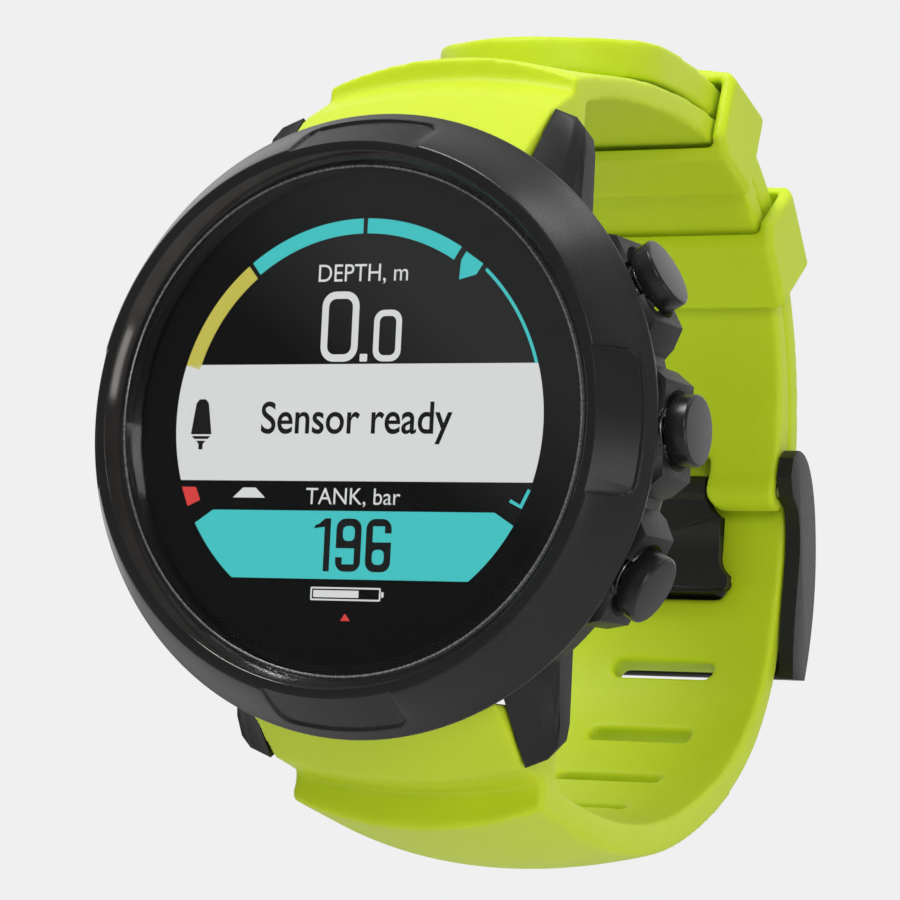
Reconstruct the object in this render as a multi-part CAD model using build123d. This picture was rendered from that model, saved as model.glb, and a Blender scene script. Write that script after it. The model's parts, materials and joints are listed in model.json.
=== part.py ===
from build123d import *
from math import cos, radians, sin
import os

# Wrist dive computer on a closed silicone strap, in millimetres.
# +Z points to 12 o'clock, the dial faces -Y and +X points to 3 o'clock, where the pushers are.
# The origin is the centre of the case back's flat face.

# ---- driving dimensions: watch head, measured from the case back at Y = 0 towards the dial ----
CASE_DEPTH = 16.5          # case back to the bezel's front ring
BEZEL_R = 26.5             # widest edge of the bezel
BEZEL_WIDEST_Y = -11.2
BEZEL_REAR_Y = -10.2
BEZEL_RING_OUTER_R = 23.55
BEZEL_RING_INNER_R = 22.45
PAD_HALF_LENGTH = 5.9
PAD_DEPTH = 0.2
GLASS_R = 21.45
GLASS_FRONT_Y = -15.2
GLASS_THICKNESS = 2.3
GLASS_SEAT_Y = GLASS_FRONT_Y + GLASS_THICKNESS
NECK_R = 22.9              # neck of the case that the bezel fits over
BARREL_R = 24.6
CAVITY_R = 21.3
LUG_WALL_Z = 22.6          # flat case wall between the lugs
BACK_R = 21.9
BACK_THICKNESS = 1.5
BACK_PLUG_R = 18.0
BACK_LEDGE_R = 19.3
SCREW_CIRCLE_R = 20.6

# ---- driving dimensions: pushers ----
PUSHER_ANGLES = {"upper": 28.0, "middle": 0.0, "lower": -28.0}
PUSHER_Y = -6.7
PUSHER_FACE_R = 28.35
PUSHER_CAP_R = 3.08
PUSHER_CAP_LENGTH = 2.0
STEM_R = 1.25
STEM_BORE_R = 1.3
TUBE_R = 2.1
POCKET_FLOOR_R = 24.9

# ---- driving dimensions: strap, spring bars and buckle ----
LUG_GAP_HALF = 12.15
STRAP_HALF_AT_LUGS = 12.0
STRAP_HALF_AT_BUCKLE = 11.0
BAR_Y = -3.4
BAR_Z = 25.0
BAR_R = 0.9
QUICK_RELEASE_TRAVEL = 1.3
SHOULDER_Y = 1.7           # the strap's thick part starts here, behind the lugs
WRAP_Y, WRAP_Z = 30.0, 6.0  # centre of the arc where the two strap halves overlap
WRAP_R = 28.6              # outer face of the short half on that arc
LAYER_GAP = 0.3
TAIL_THICKNESS = 2.5       # where the long half leaves the buckle
TAIL_END_THICKNESS = 3.5
TAIL_END_Y = 13.0           # the tail reaches back this far over the short half
LONG_START = (1, -0.22)     # direction of the long half as it leaves the case
LONG_INNER = [              # (y, z) along the long half's inner face, from the case to the overlap arc
    (SHOULDER_Y, -29.1), (7.0, -30.2), (15.0, -31.7), (23.4, -32.3), (31.8, -31.5), (40.3, -29.0),
    (48.0, -25.2), (52.7, -21.0), (55.6, -16.2), (57.4, -10.0), (58.5, -3.5),
    (WRAP_Y + WRAP_R + LAYER_GAP, WRAP_Z),
]
SLOT_COUNT = 5
SLOT_PITCH = 8.4
SLOT_HALF_WIDTH = 5.3
SLOT_HEIGHT = 1.8
SLOT_FROM_END = 15.0       # from the overlap arc back to the slot that the prong uses
PIN_Y, PIN_Z = 56.75, 0.9
PIN_R = 0.7
FORK_HALF_GAP = 3.9
KEEPER_HALF_WIDTH = 12.75
KEEPER_APERTURE_HALF = 11.45
# Radii of the keepers, from the centre of the overlap arc.
KEEPER_INNER_R = 24.75      # inner face that lies on the wrist
KEEPER_FRONT_R = 26.4       # the front side leans back from here
KEEPER_CORE_R = 25.75       # inner wall of the aperture
KEEPER_APERTURE_R = 32.5    # outer wall of the aperture
KEEPER_R = 33.25            # edge of the crowned outer face
KEEPER_BLANK_R = 35.0       # blank that the crown is cut from
KEEPER_CROWN = 1.3
FRAME_INNER_X = 11.25
FRAME_OUTER_X = 12.75

os.makedirs("parts", exist_ok=True)


def save(name, *shapes):
    """Write one node; a group of separate solids shares one file."""
    node = shapes[0] if len(shapes) == 1 else Compound(children=list(shapes))
    export_step(node, f"parts/{name}.step")


def ring_profile(points):
    """Solid of revolution about the Y axis from (radius, y) points."""
    face = make_face(Polyline([(r, y, 0) for r, y in points], close=True))
    return revolve(face, Axis.Y)


def disc(radius, y_from, y_to):
    """Cylinder along Y between two heights."""
    plane = Plane(origin=(0, y_from, 0), z_dir=(0, 1, 0))
    return extrude(plane * Circle(radius), y_to - y_from)


def disc_at(x, z, radius, y_from, y_to):
    """Cylinder along Y away from the centre line."""
    return Pos(x, 0, z) * disc(radius, y_from, y_to)


def block(x_range, y_range, z_range):
    """Box between the given limits."""
    size = [high - low for low, high in (x_range, y_range, z_range)]
    middle = [(high + low) / 2 for low, high in (x_range, y_range, z_range)]
    return Pos(*middle) * Box(*size)


def rod_x(y, z, radius, x_from, x_to):
    """Cylinder along X."""
    plane = Plane(origin=(x_from, y, z), z_dir=(1, 0, 0))
    return extrude(plane * Circle(radius), x_to - x_from)


def side_profile(points, x_from, x_to):
    """Prism along X from (y, z) corner points."""
    outline = Polyline([(x_from, y, z) for y, z in points], close=True)
    return extrude(make_face(outline), x_to - x_from, dir=(1, 0, 0))


# ---------------------------------------------------------------- watch head

def make_bezel():
    front = -CASE_DEPTH
    body = ring_profile([
        (BEZEL_RING_INNER_R, front), (BEZEL_RING_OUTER_R, front + 0.08), (BEZEL_R, BEZEL_WIDEST_Y),
        (25.9, BEZEL_REAR_Y), (NECK_R + 0.05, BEZEL_REAR_Y), (NECK_R + 0.05, GLASS_SEAT_Y),
        (22.0, GLASS_SEAT_Y), (22.0, -15.0), (21.57, -15.1), (21.57, -15.2),
    ])
    # Four shallow grip pads, set back from the sloped wall at 12, 3, 6 and 9 o'clock.
    core = ring_profile([
        (0, front), (BEZEL_RING_OUTER_R - PAD_DEPTH, front), (BEZEL_R - PAD_DEPTH, BEZEL_WIDEST_Y),
        (BEZEL_R - PAD_DEPTH, BEZEL_REAR_Y), (0, BEZEL_REAR_Y),
    ])
    pad = block((20, 27.5), (-15.3, -9.0), (-PAD_HALF_LENGTH, PAD_HALF_LENGTH)) - core
    for angle in range(0, 360, 90):
        body -= Rot(0, angle, 0) * pad
    return body


def make_lug():
    """Lug at 3-12 o'clock; the others are mirrored from it."""
    sections = [
        (12.15, [(-9.6, 19.0), (-7.9, 22.2), (-2.7, 28.1), (-0.8, 27.2), (-0.8, 19.0)]),
        (14.2, [(-8.0, 17.7), (-6.2, 20.6), (-2.7, 27.3), (-0.9, 26.5), (-0.9, 17.7)]),
        (15.05, [(-6.9, 17.0), (-5.0, 19.6), (-2.8, 26.3), (-0.9, 25.6), (-0.9, 17.0)]),
        (15.4, [(-6.0, 16.4), (-3.9, 18.6), (-3.2, 24.6), (-1.2, 24.2), (-1.2, 16.4)]),
    ]
    faces = [make_face(Polyline([(x, y, z) for y, z in points], close=True)) for x, points in sections]
    return loft(faces, ruled=True)


def pusher_location(angle):
    """Local frame of a pusher: local Z runs outward along its axis, local Y is the watch's +Y."""
    out = (cos(radians(angle)), 0, sin(radians(angle)))
    side = (-sin(radians(angle)), 0, cos(radians(angle)))
    return Plane(origin=(0, PUSHER_Y, 0), x_dir=side, z_dir=out).location


def along_pusher(radius, r_from, r_to):
    """Cylinder on the pusher's axis, between two distances from the watch's centre line."""
    return Pos(0, 0, r_from) * extrude(Circle(radius), r_to - r_from)


def make_guard():
    """Raised shoulder round one pusher, drawn in the pusher's own frame."""
    outline = [(-6.0, 22.6), (-5.2, 24.9), (-4.0, 26.4), (4.0, 26.4), (5.2, 24.9), (6.0, 22.6)]
    face = make_face(Polyline([(u, -3.0, w) for u, w in outline], close=True))
    return extrude(face, 6.0, dir=(0, 1, 0))


def screw_places():
    return [(SCREW_CIRCLE_R * cos(radians(a)), SCREW_CIRCLE_R * sin(radians(a))) for a in (45, 135, 225, 315)]


def make_case_body():
    body = ring_profile([
        (NECK_R, GLASS_SEAT_Y), (NECK_R, BEZEL_REAR_Y), (BARREL_R, BEZEL_REAR_Y), (BARREL_R, -4.0),
        (23.2, -0.3), (22.0, -0.3), (22.0, -BACK_THICKNESS), (BACK_LEDGE_R, -BACK_THICKNESS),
        (BACK_LEDGE_R, -3.6), (CAVITY_R, -3.6), (CAVITY_R, -11.9), (20.4, -11.9), (20.4, GLASS_SEAT_Y),
    ])
    for side in (1, -1):
        span = sorted((side * LUG_WALL_Z, side * 30))
        body -= block((-LUG_GAP_HALF, LUG_GAP_HALF), (BEZEL_REAR_Y + 0.01, 1), span)
    lug = make_lug() - disc(CAVITY_R + 1.2, -13, 1)
    for mirror_x in (False, True):
        for mirror_z in (False, True):
            piece = lug
            if mirror_x:
                piece = mirror(piece, Plane.YZ)
            if mirror_z:
                piece = mirror(piece, Plane.XY)
            body += piece
    for angle in PUSHER_ANGLES.values():
        place = pusher_location(angle)
        body += place * make_guard() - disc(CAVITY_R + 1.2, -13, 1)
    for angle in PUSHER_ANGLES.values():
        place = pusher_location(angle)
        body -= place * along_pusher(PUSHER_CAP_R + 0.3, POCKET_FLOOR_R, 30)
        body -= place * along_pusher(TUBE_R, 20, 26)
    for side in (1, -1):
        body -= rod_x(BAR_Y, side * BAR_Z, 0.5, -13.5, 13.5)
    for x, z in screw_places():
        body -= disc_at(x, z, 0.82, -3.5, 0)
    return body


def make_crystal():
    back = GLASS_SEAT_Y - 0.02
    facet = [(20.5, GLASS_FRONT_Y), (GLASS_R, -15.02)]
    return ring_profile([(0, GLASS_FRONT_Y), *facet, (GLASS_R, back), (0, back)])


def make_crystal_gasket():
    return disc(21.95, -14.9, GLASS_SEAT_Y - 0.02) - disc(GLASS_R + 0.03, -15.2, -12)


def make_display_panel():
    return disc(20.1, -12.85, -11.7)


def make_display_chassis():
    plate = disc(20.9, -11.65, -10.85) - disc(6.0, -12, -10)
    for x, z in screw_places():
        plate += disc_at(x * 0.9, z * 0.9, 1.2, -10.9, -10.5)
    return plate


def make_main_board():
    board = disc(20.4, -10.45, -9.55)
    chips = [(-9, 9, 6, 6), (0, -12, 8, 5), (9, 8, 5, 7), (-11, -7, 4, 4)]
    for x, z, width, height in chips:
        board += block((x - width / 2, x + width / 2), (-9.6, -8.6), (z - height / 2, z + height / 2))
    return board


def make_battery():
    cell = block((-12, 12), (-8.3, -4.1), (-8, 10))
    return fillet(cell.edges().filter_by(Axis.Y), 2.0)


def make_vibration_motor():
    return disc_at(-6, -13.5, 4.0, -7.2, -4.3)


def make_buzzer():
    return disc_at(4.5, -13.5, 4.5, -5.6, -3.9)


def make_pressure_sensor():
    return disc_at(0, 14.2, 3.1, -5.2, -2.95) - disc_at(0, 14.2, 1.6, -3.6, -2.9)


def make_sensor_cover():
    cover = disc_at(0, 14.2, 3.2, -0.9, -0.05)
    for dx, dz in ((-1.5, 0), (0, 0), (1.5, 0), (0, 1.5), (0, -1.5)):
        cover -= disc_at(dx, 14.2 + dz, 0.4, -1.0, 0.1)
    return cover


def make_antenna_ring():
    ring = disc(21.1, -9.4, -8.95) - disc(19.9, -9.5, -8.8)
    return ring - block((15, 22), (-10, -8), (-4, 4))


def make_case_back():
    body = disc(BACK_R, -BACK_THICKNESS, 0) + disc(BACK_PLUG_R, -2.9, -BACK_THICKNESS + 0.01)
    body -= disc_at(0, 14.2, 3.25, -0.95, 0.1)
    body -= disc_at(0, 14.2, 1.0, -3.1, 0)
    for x, z in screw_places():
        body -= disc_at(x, z, 0.95, -2, 0.1)
        body -= disc_at(x, z, 1.15, -0.75, 0.1)
    for x in contact_places():
        body -= disc_at(x, -14.5, 0.95, -3.1, 0.1)
    return body


def make_case_back_gasket():
    return disc(BACK_LEDGE_R - 0.05, -2.7, -1.6) - disc(BACK_PLUG_R + 0.03, -3, -1)


def make_case_back_screws():
    screws = []
    for x, z in screw_places():
        screw = disc_at(x, z, 1.1, -0.7, -0.08) + disc_at(x, z, 0.78, -3.3, -0.65)
        screw -= block((x - 0.9, x + 0.9), (-0.35, 0), (z - 0.15, z + 0.15))
        screws.append(screw)
    return screws


def contact_places():
    return [-3.9, -1.3, 1.3, 3.9]


def make_charging_contacts():
    return [disc_at(x, -14.5, 0.9, -3.2, -0.05) for x in contact_places()]


def make_side_key_flex():
    strip = disc(18.6, -8.4, -4.9) - disc(18.2, -9, -4)
    strip &= block((12, 20), (-9, -4), (-13, 13))
    for angle in PUSHER_ANGLES.values():
        strip += pusher_location(angle) * along_pusher(1.6, 18.3, 19.1)
    return strip


# ---------------------------------------------------------------- pushers, in their own frames

def make_pusher():
    cap_back = PUSHER_FACE_R - PUSHER_CAP_LENGTH
    cap = along_pusher(PUSHER_CAP_R, cap_back, PUSHER_FACE_R)
    cap = chamfer(cap.edges().sort_by(Axis.Z)[-1], 0.22)
    cap -= along_pusher(2.5, cap_back - 0.1, cap_back + 0.85)
    stem = along_pusher(STEM_R, 20.05, cap_back + 0.9)
    stem -= along_pusher(2, 20.83, 21.17) - along_pusher(0.85, 20.8, 21.2)
    for middle in seal_middles():
        stem -= along_pusher(2, middle - 0.3, middle + 0.3) - along_pusher(0.8, middle - 0.4, middle + 0.4)
    return cap + stem


def seal_middles():
    return [22.6, 23.7]


def make_pusher_seals():
    return [Pos(0, 0, r) * Torus(1.05, 0.23) for r in seal_middles()]


def make_pusher_clip():
    clip = along_pusher(1.9, 20.86, 21.14) - along_pusher(0.88, 20, 22)
    return clip - Pos(0, 1.2, 21) * Box(1.1, 2.4, 1)


def make_pusher_tube():
    return along_pusher(TUBE_R, 21.35, POCKET_FLOOR_R) - along_pusher(STEM_BORE_R, 20, 26)


def make_pusher_spring():
    # Drawn at its pressed length, so that it stays clear of the cap over the whole travel.
    path = Helix(pitch=0.42, height=1.05, radius=1.85)
    wire = Plane(origin=path @ 0, z_dir=path % 0) * Circle(0.13)
    return Pos(0, 0, POCKET_FLOOR_R + 0.17) * sweep(wire, path=path)


# ---------------------------------------------------------------- strap

def strap_section(y, z, tangent, half_width, inner, outer, crown):
    """Cross-section of the strap: flat inner face, straight sides and a crowned outer face."""
    plane = Plane(origin=(0, y, z), x_dir=(1, 0, 0), z_dir=(0, tangent[0], tangent[1]))
    w = half_width
    outline = Polyline((-w, outer), (-w, inner), (w, inner), (w, outer))
    crown_arc = ThreePointArc((w, outer), (0, outer + crown), (-w, outer))
    return plane * make_face([*outline.edges(), *crown_arc.edges()])


def wrap_point(angle, radius):
    """Point and direction of travel on the overlap arc; the angle opens from +Y towards +Z."""
    a = radians(angle)
    return WRAP_Y + radius * cos(a), WRAP_Z + radius * sin(a), (-sin(a), cos(a))


def curve_stations(points, start, end, count):
    """Evenly spaced points and tangents on a smooth curve through (y, z) points."""
    path = Spline([(y, z) for y, z in points], tangents=[start, end])
    stations = []
    for i in range(count):
        place, slope = path @ (i / (count - 1)), path % (i / (count - 1))
        stations.append((place.X, place.Y, (slope.X, slope.Y)))
    return stations


def taper(y):
    """Half width: full behind the lugs, narrowing evenly to the buckle."""
    share = min(max((y - SHOULDER_Y) / 52.0, 0), 1)
    return STRAP_HALF_AT_LUGS + share * (STRAP_HALF_AT_BUCKLE - STRAP_HALF_AT_LUGS)



def make_root(side, stations):
    """Block between the lugs, with a faceted front and a crowned outer face.

    side is +1 at 12 o'clock and -1 at 6 o'clock; stations are (y, edge z, crown).
    """
    faces = []
    for y, edge, crown in stations:
        inner, w = side * 22.9, 11.9
        outline = Polyline((-w, y, side * edge), (-w, y, inner), (w, y, inner), (w, y, side * edge))
        crown_arc = ThreePointArc((w, y, side * edge), (0, y, side * (edge + crown)), (-w, y, side * edge))
        faces.append(make_face([*outline.edges(), *crown_arc.edges()]))
    root = loft(faces, ruled=True)
    return root + block((-11.95, 11.95), (SHOULDER_Y - 0.05, 4.3), sorted((side * 22.9, side * 29.9)))


def cut_bar_seat(strap, side):
    """Hole for the spring bar, and the recess where a finger reaches the quick-release lever."""
    strap -= rod_x(BAR_Y, side * BAR_Z, BAR_R + 0.1, -13, 13)
    strap -= block((-10.4, -4.2), (-0.2, 5), sorted((side * 22.5, side * 27.2)))
    return strap - block((-9.2, -5.8), (BAR_Y, 0), sorted((side * 24.1, side * 25.9)))


def make_strap_long():
    run = []
    path_stations = curve_stations(LONG_INNER, LONG_START, (0, 1), 21)
    for y, z, tangent in path_stations:
        crown = 2.2 - 1.9 * min(max((y - 12) / 40.0, 0), 1)
        thickness = 2.45 + 0.45 * sin(radians(180 * min(max((y - SHOULDER_Y) / 54.0, 0), 1)))
        run.append(strap_section(y, z, tangent, taper(y), 0, thickness, crown))
    for angle in (12, 24, 36, 48, 60, 72, 84):
        y, z, tangent = wrap_point(angle, WRAP_R + LAYER_GAP)
        thickness = TAIL_THICKNESS + 0.7 * (angle - 12) / 72
        run.append(strap_section(y, z, tangent, STRAP_HALF_AT_BUCKLE, 0, thickness, 0.15))
    for y, z, fall in ((25.5, 35.15, -0.01), (19.0, 34.95, -0.06), (TAIL_END_Y, 34.5, -0.09)):
        run.append(strap_section(y, z, (-1, fall), STRAP_HALF_AT_BUCKLE, 0, TAIL_END_THICKNESS, 0.15))
    strap = loft(run)
    root = [(-8.8, 22.95, 2.1), (-7.4, 24.1, 1.9), (-2.7, 28.0, 1.6), (SHOULDER_Y, 29.1, 1.35)]
    strap += make_root(-1, root)
    # Round end of the tail.
    centre_y = TAIL_END_Y + STRAP_HALF_AT_BUCKLE
    corner = block((-13, 13), (10, centre_y), (33, 42))
    corner -= Pos(0, centre_y, 38) * Cylinder(STRAP_HALF_AT_BUCKLE, 12)
    strap -= corner
    strap = cut_bar_seat(strap, -1)
    for plane in slot_planes():
        strap -= plane * Pos(0, 0, 1.5) * fillet_slot()
    return strap


def fillet_slot():
    """Cutter for one adjusting slot, with rounded corners, through the strap."""
    return extrude(RectangleRounded(2 * SLOT_HALF_WIDTH, SLOT_HEIGHT, 0.6), 4, both=True)


def slot_planes():
    """One plane per slot: local X along the watch's X, local Z out through the strap."""
    path = Spline([(y, z) for y, z in LONG_INNER], tangents=[LONG_START, (0, 1)])
    closed_slot = 1 - SLOT_FROM_END / path.length
    planes = []
    for index in range(SLOT_COUNT):
        u = closed_slot - index * SLOT_PITCH / path.length
        place, slope = path @ u, path % u
        planes.append(Plane(origin=(0, place.X, place.Y), x_dir=(1, 0, 0), z_dir=(0, slope.Y, -slope.X)))
    return planes


def make_fork_gap(half_gap, top, half_foot, foot):
    """Opening of the fork: straight sides that flare outward to its foot, extruded along Y."""
    right = [
        Line((half_gap, top), (half_gap, 1.0)),
        ThreePointArc((half_gap, 1.0), (half_gap + 0.6, foot + 0.8), (half_foot, foot)),
        Line((half_foot, foot), (half_foot, foot - 2)),
    ]
    left = [mirror(edge, Plane.YZ) for edge in right]
    ends = [Line((-half_gap, top), (half_gap, top)), Line((-half_foot, foot - 2), (half_foot, foot - 2))]
    face = make_face([edge for part in (*right, *left, *ends) for edge in part.edges()])
    return extrude(Plane(origin=(0, 53, 0), x_dir=(1, 0, 0), z_dir=(0, -1, 0)) * face, -7)


def make_strap_short():
    run = []
    for angle in (-2, 10, 22, 34, 46, 58, 70, 82):
        y, z, tangent = wrap_point(angle, WRAP_R)
        depth = 2.6 if angle < 20 else 2.4
        run.append(strap_section(y, z, tangent, STRAP_HALF_AT_BUCKLE + 0.004 * (angle + 2), -depth, 0, 0.03))
    for y, z, tangent, depth, crown in (
        (26.0, 34.7, (-1, 0.0), 2.3, 0.04), (18.0, 34.35, (-1, -0.09), 2.2, 0.08),
        (11.0, 33.5, (-1, -0.15), 2.1, 0.7), (6.0, 32.6, (-1, -0.2), 2.2, 1.5),
        (SHOULDER_Y, 31.55, (-1, 0), 2.3, 2.4),
    ):
        run.append(strap_section(y, z, tangent, taper(y), -depth, 0, crown))
    strap = loft(run)
    # The end wraps the buckle pin and is forked round the prong.
    strap += rod_x(PIN_Y - 0.15, PIN_Z - 0.15, 1.9, -STRAP_HALF_AT_BUCKLE, STRAP_HALF_AT_BUCKLE)
    web = [(55.05, 0.9), (58.45, 0.9), (58.55, 5.2), (55.95, 5.2)]
    strap += side_profile(web, -STRAP_HALF_AT_BUCKLE, STRAP_HALF_AT_BUCKLE)
    strap -= make_fork_gap(FORK_HALF_GAP, 4.2, 6.2, -1.5)
    strap -= rod_x(PIN_Y, PIN_Z, PIN_R + 0.05, -13, 13)
    strap += make_root(1, [(-8.8, 22.95, 2.1), (-7.4, 24.1, 2.0), (-2.9, 28.0, 1.7), (SHOULDER_Y, 30.4, 1.3)])
    return cut_bar_seat(strap, 1)


def make_spring_bar(side):
    z = side * BAR_Z
    tube = rod_x(BAR_Y, z, BAR_R, -11.5, 11.5) + rod_x(BAR_Y, z, 0.45, 11.4, 13.2)
    tube -= rod_x(BAR_Y, z, 0.62, -11.0, 2.0)
    tube -= rod_x(BAR_Y, z, 0.5, -12, -10.9)
    return tube - block((-9.2, -6.0), (BAR_Y, BAR_Y + 2), sorted((side * 24.35, side * 25.65)))


def make_quick_release(side):
    z = side * BAR_Z
    pin = rod_x(BAR_Y, z, 0.45, -13.2, -8.0) + rod_x(BAR_Y, z, 0.57, -10.9 + QUICK_RELEASE_TRAVEL, -7.6)
    lever_plane = Plane(origin=(-8.5, BAR_Y, z), z_dir=(0, 1, 0))
    lever = extrude(lever_plane * Circle(0.5), 4.6)
    return pin + lever + Pos(-8.5, 1.0, z) * Sphere(0.8)


def make_bar_spring(side):
    # Drawn at its pressed length, clear of the sliding pin.
    path = Helix(pitch=0.5, height=6.0, radius=0.44)
    wire = Plane(origin=path @ 0, z_dir=path % 0) * Circle(0.1)
    coil = sweep(wire, path=path)
    return Pos(-6.0, BAR_Y, side * BAR_Z) * Rot(0, 90, 0) * coil


def make_keeper(middle_angle):
    """Closed loop round both strap layers, flat-sided outside, slightly wedge-shaped from the side."""
    corners = []
    outline = (
        (8.6, KEEPER_BLANK_R), (-6.0, KEEPER_BLANK_R), (-8.5, KEEPER_INNER_R), (7.6, KEEPER_INNER_R),
        (11.6, KEEPER_FRONT_R),
    )
    for angle, radius in outline:
        y, z, _ = wrap_point(middle_angle + angle, radius)
        corners.append((y, z))
    body = side_profile(corners, -KEEPER_HALF_WIDTH, KEEPER_HALF_WIDTH)
    # The outer face is crowned across the strap.
    front_y, front_z, _ = wrap_point(middle_angle + 9.0, KEEPER_R)
    rear_y, rear_z, _ = wrap_point(middle_angle - 6.2, KEEPER_R)
    direction = (0, rear_y - front_y, rear_z - front_z)
    along = Plane(origin=(0, front_y, front_z), x_dir=(1, 0, 0), z_dir=direction)
    w = KEEPER_HALF_WIDTH
    sides = Polyline((-w, 0), (-w, 12), (w, 12), (w, 0))
    crown = ThreePointArc((w, 0), (0, -KEEPER_CROWN), (-w, 0))
    body &= extrude(along * make_face([*sides.edges(), *crown.edges()]), 14, both=True)
    side_edges = body.edges().group_by(Axis.X)
    body = chamfer(side_edges[0] + side_edges[-1], 0.5)
    hole = rod_x(WRAP_Y, WRAP_Z, KEEPER_APERTURE_R, -KEEPER_APERTURE_HALF, KEEPER_APERTURE_HALF)
    core = rod_x(WRAP_Y, WRAP_Z, KEEPER_CORE_R, -14, 14)
    return body - (hole - core)


# ---------------------------------------------------------------- buckle

def make_buckle_frame():
    outline = Spline([
        (56.9, 4.9), (59.4, 4.2), (61.5, 1.3), (62.6, -2.7), (63.0, -8.0), (62.3, -13.5), (61.1, -17.5),
    ])
    back = Spline([(57.9, -17.5), (57.7, -13.0), (58.0, -9.5), (58.4, -4.5), (57.5, -0.9)])
    neck = Polyline([(57.5, -0.9), (55.9, 0.4), (55.2, 2.2), (55.7, 4.1), (56.9, 4.9)])
    foot = Line((61.1, -17.5), (57.9, -17.5))
    plate = make_face([*outline.edges(), *foot.edges(), *back.edges(), *neck.edges()])
    plates = None
    for x in (FRAME_INNER_X, -FRAME_OUTER_X):
        at_x = Plane(origin=(x, 0, 0), x_dir=(0, 1, 0), z_dir=(1, 0, 0))
        piece = extrude(at_x * plate, FRAME_OUTER_X - FRAME_INNER_X)
        plates = piece if plates is None else plates + piece
    bar = side_profile([(59.5, -14.4), (61.9, -14.4), (61.1, -17.5), (59.2, -17.5)], -12.0, 12.0)
    bar = fillet(bar.edges().filter_by(Axis.X), 0.5)
    return plates + bar - rod_x(PIN_Y, PIN_Z, PIN_R, -12.2, 12.2)


def make_buckle_pin():
    return rod_x(PIN_Y, PIN_Z, PIN_R, -12.2, 12.2)


def make_buckle_prong():
    side = [
        (55.6, 0.6), (56.0, -5.0), (55.5, -9.3), (59.8, -9.9), (61.7, -11.5), (62.75, -13.0),
        (62.75, -17.0), (63.75, -17.0), (63.9, -12.3), (62.4, -10.2), (60.2, -8.75), (56.75, -8.15),
        (57.2, -5.0), (57.4, 0.6),
    ]
    prong = side_profile(side, -7, 7) + rod_x(PIN_Y, PIN_Z, 1.5, -7, 7)
    # Seen from the front: a hub between the fork's legs, a plate that flares out, and the tongue.
    hub = FORK_HALF_GAP - 0.3
    plate, foot, tongue = 5.2, 6.3, 4.8
    foot_z = -9.1
    right = [
        Line((0, 3), (hub, 3)), Line((hub, 3), (hub, 0.7)),
        ThreePointArc((hub, 0.7), (hub + 0.55, -1.0), (plate, -1.85)),
        Line((plate, -1.85), (plate, -5.4)),
        ThreePointArc((plate, -5.4), (plate + 0.2, -6.6), (foot, -7.6)),
        Line((foot, -7.6), (foot, foot_z + 0.8)),
        ThreePointArc((foot, foot_z + 0.8), (foot - 0.2, foot_z + 0.2), (foot - 0.7, foot_z)),
        Line((foot - 0.7, foot_z), (tongue, foot_z)),
        Line((tongue, foot_z), (tongue, -18)), Line((tongue, -18), (0, -18)),
    ]
    left = [mirror(edge, Plane.YZ) for edge in right]
    front = make_face([edge for part in (*right, *left) for edge in part.edges()])
    prong &= extrude(Plane(origin=(0, 50, 0), x_dir=(1, 0, 0), z_dir=(0, -1, 0)) * front, -20)
    # The foot stays in front of the strap, and only the tongue enters the slot.
    for x_range in ((-7, -tongue), (tongue, 7)):
        prong -= block(x_range, (57.0, 60.5), (-10, -8))
    return prong - rod_x(PIN_Y, PIN_Z, PIN_R + 0.05, -6, 6)


# ---------------------------------------------------------------- write the nodes

save("case_body", make_case_body())
save("bezel", make_bezel())
save("crystal", make_crystal())
save("crystal_gasket", make_crystal_gasket())
save("display_panel", make_display_panel())
save("display_chassis", make_display_chassis())
save("main_board", make_main_board())
save("battery", make_battery())
save("vibration_motor", make_vibration_motor())
save("buzzer", make_buzzer())
save("pressure_sensor", make_pressure_sensor())
save("sensor_cover", make_sensor_cover())
save("antenna_ring", make_antenna_ring())
save("case_back", make_case_back())
save("case_back_gasket", make_case_back_gasket())
save("case_back_screws", *make_case_back_screws())
save("charging_contacts", *make_charging_contacts())
save("side_key_flex", make_side_key_flex())

for name, angle in PUSHER_ANGLES.items():
    place = pusher_location(angle)
    save(f"pusher_{name}", place * make_pusher())
    save(f"pusher_{name}_seals", *[place * ring for ring in make_pusher_seals()])
    save(f"pusher_{name}_clip", place * make_pusher_clip())
    save(f"pusher_{name}_tube", place * make_pusher_tube())
    save(f"pusher_{name}_spring", place * make_pusher_spring())

save("strap_long", make_strap_long())
save("strap_short", make_strap_short())
for name, side in (("upper", 1), ("lower", -1)):
    save(f"spring_bar_{name}", make_spring_bar(side))
    save(f"quick_release_{name}", make_quick_release(side))
    save(f"bar_spring_{name}", make_bar_spring(side))
save("keeper_upper", make_keeper(70.0))
save("keeper_lower", make_keeper(38.0))
save("buckle_frame", make_buckle_frame())
save("buckle_pin", make_buckle_pin())
save("buckle_prong", make_buckle_prong())
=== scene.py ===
"""Looks of a wrist dive computer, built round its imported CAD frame.

The watch stands at the frame's own place: +Z points to 12 o'clock, the dial faces -Y and +X is the
pusher side. Lengths in this script are millimetres until MM turns them into metres.
"""
import json
import logging
import math
from dataclasses import dataclass, field
from enum import Enum
from typing import Iterable, Optional, Sequence

import bpy
from mathutils import Matrix, Vector

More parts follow.
